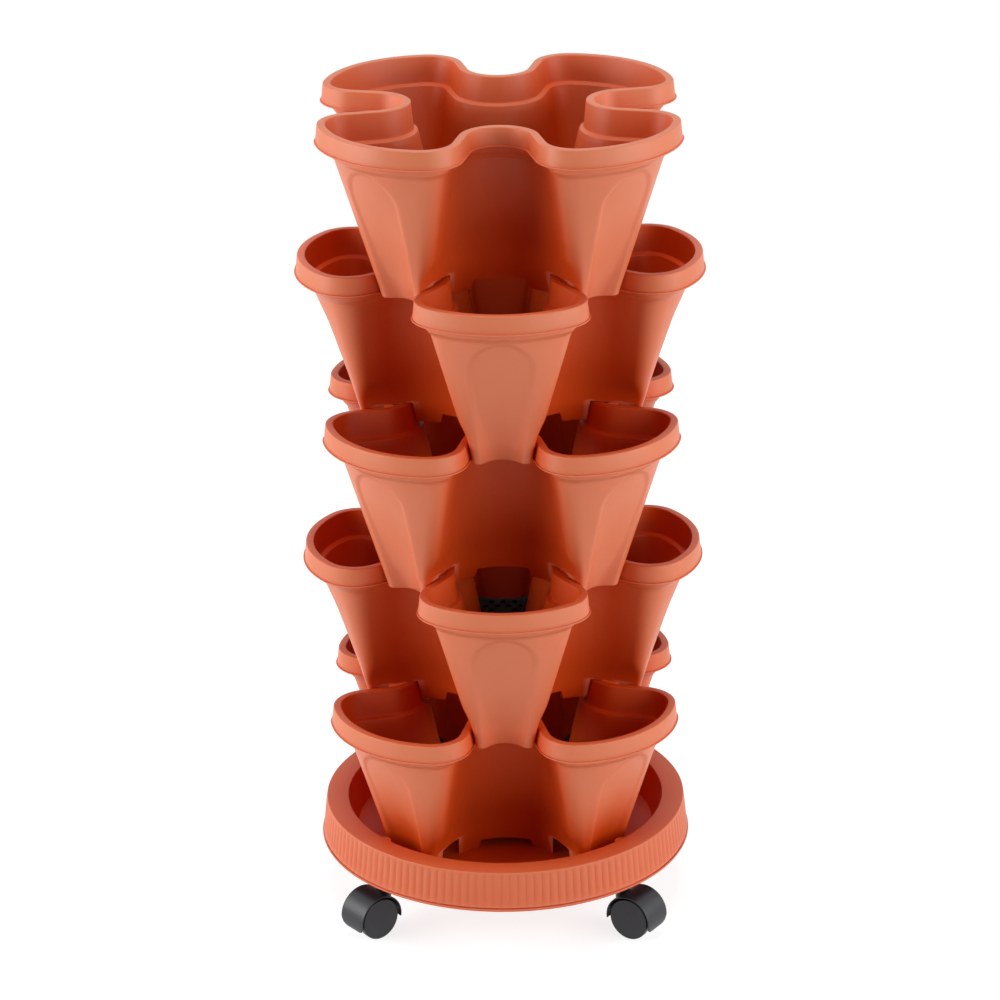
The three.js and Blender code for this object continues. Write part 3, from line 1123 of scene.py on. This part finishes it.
@dataclass
class Grids:
    """The lift-out floor grids: a perforated black plate on five legs in each pot."""

    dresser: Dresser
    pots: Pots
    top: float = 40
    plate: float = 2.5
    clearance: float = 1.8
    leg_radius: float = 5
    leg_out: float = 96
    hole_radius: float = 2.8
    hole_pitch: float = 11
    hole_margin: float = 6
    leg_margin: float = 10
    edge_round: float = 0.6
    leg_sides: int = 40
    hole_sides: int = 14

    def plate_solid(self) -> Solid:
        """The plate before it is perforated.

        Returns:
            Points and faces.
        """
        under = self.top - self.plate
        outline = self.pots.body_at(under).grown(-self.pots.wall - self.clearance)
        profile = rounded(
            (-self.edge_round * 2, under),
            (0, under, self.edge_round),
            (0, self.top, self.edge_round),
            (-self.edge_round * 2, self.top),
            steps=2,
        )
        return loft([outline.grown(o).ring(z, self.pots.panel(under)) for o, z in profile])

    def perforate(self, piece: Piece) -> None:
        """Cut the staggered holes with a node tree.

        Args:
            piece: The plate.
        """
        reach = math.ceil(self.pots.rim.tip / self.hole_pitch)
        group = NodeGroup(
            "perforations",
            {
                "Rows": 2 * reach + 1,
                "Pitch": self.hole_pitch * MM,
                "Row Pitch": self.hole_pitch * math.sqrt(3) / 2 * MM,
                "Hole Radius": self.hole_radius * MM,
                "Hole Depth": (self.plate + 2 * OVERRUN) * MM,
                "Level": self.top * MM,
                "Centre Level": (self.top - self.plate / 2) * MM,
                "Edge Margin": self.hole_margin * MM,
                "Leg Out": self.leg_out * MM,
                "Leg Margin": self.leg_margin * MM,
            },
        )
        place = group.node("GeometryNodeInputPosition").outputs[0]
        group.known.update(group.node("ShaderNodeSeparateXYZ", {0: place}).outputs.items())
        # a hole is kept where the plate lies under it, away from the plate's edge and every leg
        above = group.node("ShaderNodeVectorMath", {0: place, 1: (0.0, 0.0, OVERRUN * MM)})
        group.known["hit"] = group.node(
            "GeometryNodeRaycast",
            {
                "Target Geometry": "Geometry",
                "Source Position": above.outputs[0],
                "Ray Direction": (0.0, 0.0, -1.0),
            },
        ).outputs["Is Hit"]
        group.known["from edge"] = group.node(
            "GeometryNodeProximity", {"Target": "Geometry"}, target_element="EDGES"
        ).outputs["Distance"]
        group.sums(
            ("steps", "SUBTRACT", "Rows", 1.0),
            ("length", "MULTIPLY", "steps", "Pitch"),
            ("width", "MULTIPLY", "steps", "Row Pitch"),
            ("rows out", "DIVIDE", "Y", "Row Pitch"),
            ("row", "ROUND", "rows out"),
            ("parity", "MODULO", "row", 2.0),
            ("odd", "ABSOLUTE", "parity"),
            ("half pitch", "DIVIDE", "Pitch", 2.0),
            ("stagger", "MULTIPLY", "odd", "half pitch"),
            ("sink", "SUBTRACT", "Centre Level", "Level"),
            ("x", "ABSOLUTE", "X"),
            ("y", "ABSOLUTE", "Y"),
            ("out", "MAXIMUM", "x", "y"),
            ("past leg", "SUBTRACT", "out", "Leg Out"),
            ("beside leg", "MINIMUM", "x", "y"),
            ("past squared", "MULTIPLY", "past leg", "past leg"),
            ("beside squared", "MULTIPLY", "beside leg", "beside leg"),
            ("leg squared", "ADD", "past squared", "beside squared"),
            ("from leg", "SQRT", "leg squared"),
            ("x squared", "MULTIPLY", "x", "x"),
            ("y squared", "MULTIPLY", "y", "y"),
            ("middle squared", "ADD", "x squared", "y squared"),
            ("from middle", "SQRT", "middle squared"),
            ("inside edge", "GREATER_THAN", "from edge", "Edge Margin"),
            ("on plate", "MULTIPLY", "hit", "inside edge"),
            ("clears leg", "GREATER_THAN", "from leg", "Leg Margin"),
            ("clear", "MULTIPLY", "on plate", "clears leg"),
            ("clears middle", "GREATER_THAN", "from middle", "Leg Margin"),
            ("kept", "MULTIPLY", "clear", "clears middle"),
        )
        lattice = group.node(
            "GeometryNodeMeshGrid",
            {"Size X": "length", "Size Y": "width", "Vertices X": "Rows", "Vertices Y": "Rows"},
        )
        drill = group.node(
            "GeometryNodeMeshCylinder",
            {"Vertices": self.hole_sides, "Radius": "Hole Radius", "Depth": "Hole Depth"},
        )
        moved = []
        for source, offset in ((lattice, {"X": "stagger", "Z": "Level"}), (drill, {"Z": "sink"})):
            shift = group.node("ShaderNodeCombineXYZ", offset).outputs[0]
            step = {"Geometry": source.outputs["Mesh"], "Offset": shift}
            moved.append(group.node("GeometryNodeSetPosition", step).outputs[0])
        drills = group.node(
            "GeometryNodeInstanceOnPoints",
            {"Points": moved[0], "Selection": "kept", "Instance": moved[1]},
        )
        real = group.node("GeometryNodeRealizeInstances", {"Geometry": drills.outputs[0]})
        cut = group.node(
            "GeometryNodeMeshBoolean",
            {"Mesh 1": "Geometry", "Mesh 2": real.outputs[0]},
            operation="DIFFERENCE",
            solver="EXACT",
        )
        group.run(piece, cut.outputs["Mesh"], self.dresser.materials[Slot.BLACK])

    def legs(self) -> Solid:
        """The five legs, which end inside the plate.

        Returns:
            Points and faces.
        """
        foot = self.pots.floor_top + self.pots.seat_gap
        head = self.top - self.plate / 2
        profile = rounded(
            (0, foot), (self.leg_radius, foot, self.edge_round), (self.leg_radius, head), (0, head)
        )
        points, faces = lathe(profile, self.leg_sides)
        out = points + [self.leg_out, 0, 0]
        around = [(turned(out, k * LOBE_TURN), faces) for k in range(LOBES)]
        return merged([(points, faces), *around])

    def build(self) -> None:
        """Make the grids, one on each grid's body."""
        pattern = new_object("grid_pattern", self.plate_solid())
        self.perforate(pattern)
        combine(pattern, self.legs(), "UNION")
        self.pots.spread(smooth(pattern), Slot.BLACK, "floor_grid", "grid", "grid")


@dataclass
class Saucer:
    """The round saucer: a floor, a hollow reeded rim with a bead, and four castor sockets."""

    dresser: Dresser
    height: float = 37.6
    rim_radius: float = 167.2
    foot_radius: float = 171.3
    mouth_radius: float = 146.5
    floor_radius: float = 141
    wall: float = 2.5
    bead_height: float = 3
    bead_proud: float = 0.8
    bead_groove: float = 1.0
    edge_round: float = 1.2
    floor_round: float = 4
    crease: float = 30
    socket_radius: float = 7.5
    socket_bore: float = 5.5
    socket_depth: float = 24.6
    socket_out: float = 149.5
    socket_azimuth: float = 42.8
    turn: float = -1.6
    reeds: int = 144
    reed_steps: int = 6
    reed_depth: float = 0.9
    reed_end: float = 1.6
    socket_sides: int = 48
    rows: int = 10

    @property
    def skirt_low(self) -> float:
        """Height of the skirt's lower end, over the bead and its groove."""
        return self.bead_height + self.bead_groove

    def skirt_radius(self, above: float) -> float:
        """The skirt's radius at a height above the underside."""
        return self.foot_radius + (self.rim_radius - self.foot_radius) * above / self.height

    def profile(self, base: float) -> list[Point]:
        """The saucer's cross-section.

        Args:
            base: Level of the saucer's underside.

        Returns:
            Radius and height of each point, from the axis round and back to it.
        """
        top = base + self.height
        bead_top = base + self.bead_height
        bead_radius = self.foot_radius + self.bead_proud
        bead_round, groove_round = self.bead_height / 2, self.bead_groove / 2
        low = self.skirt_radius(self.skirt_low)
        span = self.height - self.skirt_low
        skirt = [self.skirt_low + span * k / self.rows for k in range(1, self.rows)]
        hollow = rounded(
            (0, base),
            (self.floor_radius + self.wall, base, self.floor_round),
            (self.mouth_radius + self.wall, top - self.wall, self.wall),
            (self.rim_radius - self.wall, top - self.wall, self.wall),
            (self.foot_radius - self.wall, base, groove_round),
            (bead_radius, base, bead_round),
            (bead_radius, bead_top, bead_round),
            (low - self.bead_groove, bead_top, groove_round),
            (low, bead_top + self.bead_groove),
        )
        rim = rounded(
            (self.skirt_radius(skirt[-1]), base + skirt[-1]),
            (self.rim_radius, top, self.edge_round),
            (self.mouth_radius, top, self.edge_round),
            (self.floor_radius, base + self.wall, self.floor_round),
            (0, base + self.wall),
        )
        return hollow + [(self.skirt_radius(z), base + z) for z in skirt] + rim[1:]

    def reed(self, piece: Piece, base: float) -> None:
        """Press the reeding into the skirt with a node tree.

        Args:
            piece: The saucer.
            base: Level of the saucer's underside.
        """
        group = NodeGroup(
            "reeding",
            {
                "Reeds": float(self.reeds),
                "Depth": self.reed_depth * MM,
                "Least Radius": (self.rim_radius - self.edge_round) * MM,
                "Low": (base + self.skirt_low) * MM,
                "High": (base + self.height - self.reed_end) * MM,
                "Fade": self.reed_end * MM,
            },
        )
        place = group.node("GeometryNodeInputPosition").outputs[0]
        group.known.update(group.node("ShaderNodeSeparateXYZ", {0: place}).outputs.items())
        flat = group.node(
            "ShaderNodeVectorMath", {0: place, 1: (1.0, 1.0, 0.0)}, operation="MULTIPLY"
        ).outputs[0]
        radius = group.node("ShaderNodeVectorMath", {0: flat}, operation="LENGTH")
        outward = group.node("ShaderNodeVectorMath", {0: flat}, operation="NORMALIZE")
        group.known["radius"] = radius.outputs["Value"]
        # the reeds fade out just under the rim and just over the groove
        group.sums(
            ("angle", "ARCTAN2", "Y", "X"),
            ("half reeds", "DIVIDE", "Reeds", 2.0),
            ("phase", "MULTIPLY", "angle", "half reeds"),
            ("wave", "SINE", "phase"),
            ("crest", "ABSOLUTE", "wave"),
            ("hollow", "SUBTRACT", 1.0, "crest"),
            ("sunk", "MULTIPLY", "hollow", "Depth"),
            ("under rim", "SUBTRACT", "High", "Z"),
            ("rim share", "DIVIDE", "under rim", "Fade"),
            ("over groove", "SUBTRACT", "Z", "Low"),
            ("groove share", "DIVIDE", "over groove", "Fade"),
            ("ends", "MINIMUM", "rim share", "groove share"),
            ("started", "MAXIMUM", "ends", 0.0),
            ("share", "MINIMUM", "started", 1.0),
            ("outside", "GREATER_THAN", "radius", "Least Radius"),
            ("faded", "MULTIPLY", "sunk", "share"),
            ("amount", "MULTIPLY", "faded", "outside"),
            ("inward", "MULTIPLY", "amount", -1.0),
        )
        offset = group.node(
            "ShaderNodeVectorMath", {0: outward.outputs[0], "Scale": "inward"}, operation="SCALE"
        ).outputs[0]
        moved = group.node("GeometryNodeSetPosition", {"Geometry": "Geometry", "Offset": offset})
        group.run(piece, moved.outputs[0], self.dresser.materials[Slot.TERRACOTTA])

    def directions(self) -> list[float]:
        """The directions of the socket axes from the middle.

        Returns:
            Angles in radians, in the order of the corners.
        """
        azimuth = math.radians(self.socket_azimuth)
        straight = (math.pi + azimuth, -azimuth, azimuth, math.pi - azimuth)
        return [angle + math.radians(self.turn) for angle in straight]

    def socket_places(self) -> list[Point]:
        """The socket axes, in X and Y."""
        out = self.socket_out
        return [(out * math.cos(a), out * math.sin(a)) for a in self.directions()]

    def posts(self, radius: float, low: float, high: float) -> Solid:
        """Four upright cylinders on the socket axes.

        Args:
            radius: Their radius.
            low: Level of their feet.
            high: Level of their tops.

        Returns:
            Points and faces.
        """
        outlines = (circle(x, y, radius, self.socket_sides) for x, y in self.socket_places())
        return merged(prism(outline, low, high) for outline in outlines)

    def build(self) -> None:
        """Make the saucer on its body."""
        low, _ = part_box("saucer")
        base = low.z / MM
        sides = self.reeds * self.reed_steps
        piece = new_object("reeded_saucer", lathe(self.profile(base), sides))
        self.reed(piece, base)
        piece.data.transform(Matrix.Rotation(math.radians(self.turn), 4, "Z"))
        top = base + self.height - self.wall / 2
        combine(piece, self.posts(self.socket_radius, base, top), "UNION")
        bores = self.posts(self.socket_bore, base - OVERRUN, base + self.socket_depth)
        combine(piece, bores, "DIFFERENCE")
        self.dresser.dress(smooth(piece, self.crease), Slot.TERRACOTTA, "saucer", "saucer")


@dataclass
class Castors:
    """The four twin-wheel castors.

    Each is drawn with its stem on the Z axis and its wheels trailing along +X.
    """

    dresser: Dresser
    saucer: Saucer
    wheel_radius: float = 20
    wheel_face: float = 15
    tread: float = 7.7
    wheel_edge: float = 1.4
    hub_radius: float = 6
    hub_near: float = 2.5
    bore: float = 2.8
    face_skin: float = 2.5
    trail: float = 15
    hood_clear: float = 1.7
    hood_wall: float = 1.2
    hood_half: float = 15.8
    hood_outer: float = -23
    hood_stem: float = 189
    hood_corner: float = 8
    hood_round: float = 0.5
    hood_round_steps: int = 3
    hood_crease: float = 50
    web_half: float = 2.2
    boss_radius: float = 6.4
    boss_foot: float = 26
    boss_top: float = 50.5
    pin_bore: float = 3.8
    pin_foot: float = 36.2
    stem_radius: float = 3.5
    stem_foot: float = 36.5
    stem_tip: float = 78
    flange_radius: float = 7
    flange_low: float = 51.3
    flange_high: float = 53.7
    stem_round: float = 0.6
    sides: int = 96
    small_sides: int = 48
    hood_columns: int = 18
    hood_rows: int = 56
    swivels: Mapping[Corner, float] = field(
        default_factory=lambda: {Corner.FRONT_LEFT: -2.0, Corner.FRONT_RIGHT: 10.0}
    )

    def side_on(self, profile: Sequence[Point], sides: int) -> Solid:
        """Turn a profile about the axle.

        Args:
            profile: Radius and distance along Y of each point.
            sides: Steps round the axle.

        Returns:
            Points and faces.
        """
        points, faces = lathe(profile, sides)
        x, y, z = points.T
        return np.column_stack([x + self.trail, z, y + self.wheel_radius]), faces

    def wheel(self, sign: int) -> Solid:
        """One wheel: a flat disc with a rounded tread and a blind hub.

        Args:
            sign: Side of the castor that it is on, along Y.

        Returns:
            Points and faces.
        """
        inner = self.wheel_face - self.tread
        blind = self.wheel_face - self.face_skin
        profile = rounded(
            (0, self.wheel_face),
            (self.wheel_radius, self.wheel_face, self.wheel_edge),
            (self.wheel_radius, inner, self.wheel_edge),
            (self.hub_radius, inner, self.wheel_edge / 2),
            (self.hub_radius, self.hub_near),
            (self.bore, self.hub_near),
            (self.bore, blind),
            (0, blind),
        )
        return self.side_on([(r, sign * y) for r, y in profile], self.sides)

    def drum(self) -> Piece:
        """The hood's shell: part of a drum over both wheels, rounded off where it trails.

        Returns:
            The shell.
        """
        radius = self.wheel_radius + self.hood_clear
        across = np.linspace(-self.hood_half, self.hood_half, self.hood_columns + 1)
        inside = np.maximum(np.abs(across) - (self.hood_half - self.hood_corner), 0)
        cut = self.hood_corner - np.sqrt(np.maximum(self.hood_corner**2 - inside**2, 0))
        first = math.radians(self.hood_outer) + cut / radius
        last = math.radians(self.hood_stem)
        shares = np.linspace(0, 1, self.hood_rows + 1)[:, None]
        angle = first[None, :] * (1 - shares) + last * shares
        y = np.broadcast_to(across, angle.shape)
        skins = []
        for r in (radius, radius + self.hood_wall):
            x, z = self.trail + r * np.cos(angle), self.wheel_radius + r * np.sin(angle)
            skins.append(np.stack([x, y, z], -1).reshape(-1, 3))
        size = angle.size
        number = np.arange(size).reshape(angle.shape)
        faces: list[list[int]] = []
        for skin in (number, number + size):
            quads = (skin[:-1, :-1], skin[:-1, 1:], skin[1:, 1:], skin[1:, :-1])
            faces += np.stack(quads, -1).reshape(-1, 4).tolist()
        sides = (number[0], number[1:, -1], number[-1, -2::-1], number[-2:0:-1, 0])
        border = np.concatenate(sides).tolist()
        for a, b in zip(border, border[1:] + border[:1]):
            faces.append([a, b, b + size, a + size])
        shell = new_object("hood_pattern", (np.concatenate(skins), faces))
        bevel = shell.modifiers.new("rim_round", "BEVEL")
        bevel.width = self.hood_round * MM
        bevel.segments = self.hood_round_steps
        bevel.limit_method = "ANGLE"
        bevel.angle_limit = math.radians(self.hood_crease)
        return apply_modifiers(shell)

    def hood(self) -> Piece:
        """The hood: its shell on a middle web that carries the axle, with the stem's boss.

        Returns:
            The hood.
        """
        shell = self.drum()
        radius = self.wheel_radius + self.hood_clear + self.hood_wall / 2
        arc = np.radians(np.linspace(self.hood_outer, self.hood_stem, self.hood_rows + 1))
        points, faces = prism(
            [
                (self.trail + radius * math.cos(a), self.wheel_radius + radius * math.sin(a))
                for a in arc
            ],
            -self.web_half,
            self.web_half,
        )
        boss = rounded(
            (0, self.boss_foot),
            (self.boss_radius, self.boss_foot),
            (self.boss_radius, self.boss_top, self.stem_round),
            (0, self.boss_top),
        )
        far = self.web_half + OVERRUN
        pin_hole, axle_hole = (
            [(0, low), (radius, low), (radius, high), (0, high)]
            for radius, low, high in (
                (self.pin_bore, self.pin_foot, self.boss_top + OVERRUN),
                (self.bore, -far, far),
            )
        )
        for solid, how in (
            ((points[:, [0, 2, 1]], faces), "UNION"),
            (lathe(boss, self.small_sides), "UNION"),
            (lathe(pin_hole, self.small_sides), "DIFFERENCE"),
            (self.side_on(axle_hole, self.small_sides), "DIFFERENCE"),
        ):
            combine(shell, solid, how)
        return shell

    def stem(self) -> Solid:
        """The stem: a pin with a flange under the saucer and a tapered tip.

        Returns:
            Points and faces.
        """
        profile = rounded(
            (0, self.stem_foot),
            (self.stem_radius, self.stem_foot, self.stem_round),
            (self.stem_radius, self.flange_low, self.stem_round / 2),
            (self.flange_radius, self.flange_low, self.stem_round),
            (self.flange_radius, self.flange_high, self.stem_round),
            (self.stem_radius, self.flange_high, self.stem_round / 2),
            (self.stem_radius, self.stem_tip - self.stem_radius / 2, self.stem_round),
            (self.stem_radius / 2, self.stem_tip, self.stem_round),
            (0, self.stem_tip),
        )
        return lathe(profile, self.small_sides)

    def build(self) -> None:
        """Make the castors, each piece on its own body."""
        patterns = {
            "hood": (Slot.CASTOR, self.hood()),
            "stem": (Slot.ZINC, new_object("stem_pattern", self.stem())),
            "wheel_a": (Slot.CASTOR, new_object("wheel_a_pattern", self.wheel(-1))),
            "wheel_b": (Slot.CASTOR, new_object("wheel_b_pattern", self.wheel(1))),
        }
        places = zip(Corner, self.saucer.socket_places(), self.saucer.directions())
        for _, pattern in patterns.values():
            smooth(pattern)
        for corner, place, direction in places:
            name = f"castor_{corner.value}"
            turn = direction + math.radians(self.swivels.get(corner, 0.0))
            bodies = {"hood": f"{name}_swivel", "stem": "saucer"}
            shift = Vector((*place, 0)) * MM
            for part, (slot, pattern) in patterns.items():
                piece = copy_at(pattern, f"{corner.value}_{part}", turn, shift)
                node = f"{name}_{part}"
                self.dresser.dress(piece, slot, bodies.get(part, node), node)
            for part in ("grip_ring", "axle"):
                self.dresser.paint(bpy.data.objects[f"{name}_{part}"], Slot.ZINC)
        for _, pattern in patterns.values():
            bpy.data.objects.remove(pattern)


@dataclass(frozen=True)
class Softbox:
    """One square softbox that looks at the tower.

    Args:
        name: The lamp's name.
        azimuth: Degrees to the right of the camera's side.
        out: Distance from the tower's axis.
        height: Height above the floor.
        power: Power in watts.
    """

    name: str
    azimuth: float
    out: float
    height: float
    power: float


@dataclass
class Studio:
    """The camera, the lamps, the pale floor and the white surround.

    The eye is measured from the middle of the top rim, and the camera's angles are in radians.
    """

    top_rim: float = 760.8
    eye: tuple[float, float, float] = (-5.272, -3053.95, 861.56)
    pitch: float = 0.38499
    yaw: float = 0.001025
    roll: float = -0.010178
    focal_pixels: float = 3626.37
    picture: float = 1000
    sensor: float = 36
    floor_size: float = 3400
    floor_lit: str = "#F2F2F2"
    floor_seen: str = "#A0A0A0"
    floor_glow: float = 0.8
    ambient: float = 0.08
    aim: float = 420
    softbox_side: float = 1500
    softboxes: Sequence[Softbox] = (
        Softbox("key_left", -70, 2600, 1100, 54),
        Softbox("rim_left", -100, 2600, 1100, 24),
        Softbox("fill_right", 70, 2600, 1100, 46),
        Softbox("front_right", 40, 2600, 1100, 18),
        Softbox("rim_right", 100, 2600, 1100, 6),
        # a little off the axis, so that its direction has a side that is up
        Softbox("overhead", 0, 1, 2900, 38),
    )

    def camera(self) -> None:
        """Place the camera where the photograph was taken from."""
        level = math.cos(self.pitch)
        ahead = (math.sin(self.yaw) * level, math.cos(self.yaw) * level, -math.sin(self.pitch))
        right = Vector((math.cos(self.yaw), -math.sin(self.yaw), 0))
        up = right.cross(Vector(ahead))
        tilt_right = right * math.cos(self.roll) + up * math.sin(self.roll)
        tilt_up = up * math.cos(self.roll) - right * math.sin(self.roll)
        data = bpy.data.cameras.new("camera")
        data.sensor_width = self.sensor
        data.lens = self.focal_pixels * self.sensor / self.picture
        data.clip_end = self.floor_size * MM * 2
        camera = put("camera", data)
        turn = Matrix((tilt_right, tilt_up, -Vector(ahead))).transposed().to_4x4()
        spot = Vector(self.eye) + Vector((0, 0, self.top_rim))
        camera.matrix_world = Matrix.Translation(spot * MM) @ turn
        bpy.context.scene.camera = camera

    def hang(self, box: Softbox) -> None:
        """Hang one softbox, and aim it at the middle of the tower.

        Args:
            box: The softbox.
        """
        data = bpy.data.lights.new(box.name, "AREA")
        data.shape = "SQUARE"
        data.size = self.softbox_side * MM
        data.energy = box.power
        a = math.radians(box.azimuth)
        spot = Vector((math.sin(a) * box.out, -math.cos(a) * box.out, box.height)) * MM
        look = (Vector((0, 0, self.aim * MM)) - spot).to_track_quat("-Z", "Y")
        put(box.name, data).matrix_world = Matrix.Translation(spot) @ look.to_matrix().to_4x4()

    def looked_at(self, tree: Tree) -> Socket:
        """A factor of 1 for what the camera sees, by itself, in a gloss or through glass.

        Args:
            tree: The tree that needs it.

        Returns:
            The factor.
        """
        rays = add(tree, "ShaderNodeLightPath").outputs
        seen = rays["Is Glossy Ray"]
        for way in ("Is Transmission Ray", "Is Camera Ray"):
            seen = add(tree, "ShaderNodeMath", {0: seen, 1: rays[way]}, operation="MAXIMUM")
            seen = seen.outputs[0]
        return seen

    def world(self) -> None:
        """Light the surround softly, and show it white."""
        world = bpy.data.worlds.new("surround")
        bpy.context.scene.world = world
        tree = bare_tree(world)
        soft, white = (
            add(tree, "ShaderNodeBackground", {"Color": linear(WHITE), "Strength": strength})
            for strength in (self.ambient, 1.0)
        )
        sides = {1: soft.outputs[0], 2: white.outputs[0]}
        mix = add(tree, "ShaderNodeMixShader", {0: self.looked_at(tree), **sides})
        add(tree, "ShaderNodeOutputWorld", {"Surface": mix.outputs[0]})

    def floor(self) -> None:
        """Lay a pale floor that keeps the tower's shadow."""
        half = self.floor_size / 2
        corners = np.array([[-half, -half, 0], [half, -half, 0], [half, half, 0], [-half, half, 0]])
        floor = new_object("studio_floor", (corners, [[0, 1, 2, 3]]))
        material = bpy.data.materials.new("pale_floor")
        tree = bare_tree(material)
        # where it is looked at it shows white by a glow of its own, less what the shadow takes
        seen = self.looked_at(tree)
        tone = add(
            tree,
            "ShaderNodeMix",
            {"Factor": seen, 6: linear(self.floor_lit), 7: linear(self.floor_seen)},
            data_type="RGBA",
        )
        glow = add(tree, "ShaderNodeMath", {0: seen, 1: self.floor_glow}, operation="MULTIPLY")
        shader = add(
            tree,
            "ShaderNodeBsdfPrincipled",
            {
                "Base Color": tone.outputs[2],
                "Roughness": 1.0,
                "Specular IOR Level": 0.0,
                "Emission Color": linear(WHITE),
                "Emission Strength": glow.outputs[0],
            },
        )
        add(tree, "ShaderNodeOutputMaterial", {"Surface": shader.outputs["BSDF"]})
        floor.data.materials.append(material)

    def build(self) -> None:
        """Set up the whole studio."""
        bpy.context.scene.view_settings.view_transform = "Standard"
        self.camera()
        self.world()
        self.floor()
        for box in self.softboxes:
            self.hang(box)


def main() -> None:
    """Build the studio and dress the tower, piece by piece."""
    logging.basicConfig(level=logging.INFO, format="%(name)s: %(message)s")
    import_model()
    Studio().build()
    dresser = Dresser(finishes())
    pots = Pots(dresser)
    pots.build()
    Grids(dresser, pots).build()
    saucer = Saucer(dresser)
    saucer.build()
    Castors(dresser, saucer).build()


if __name__ == "__main__":
    main()
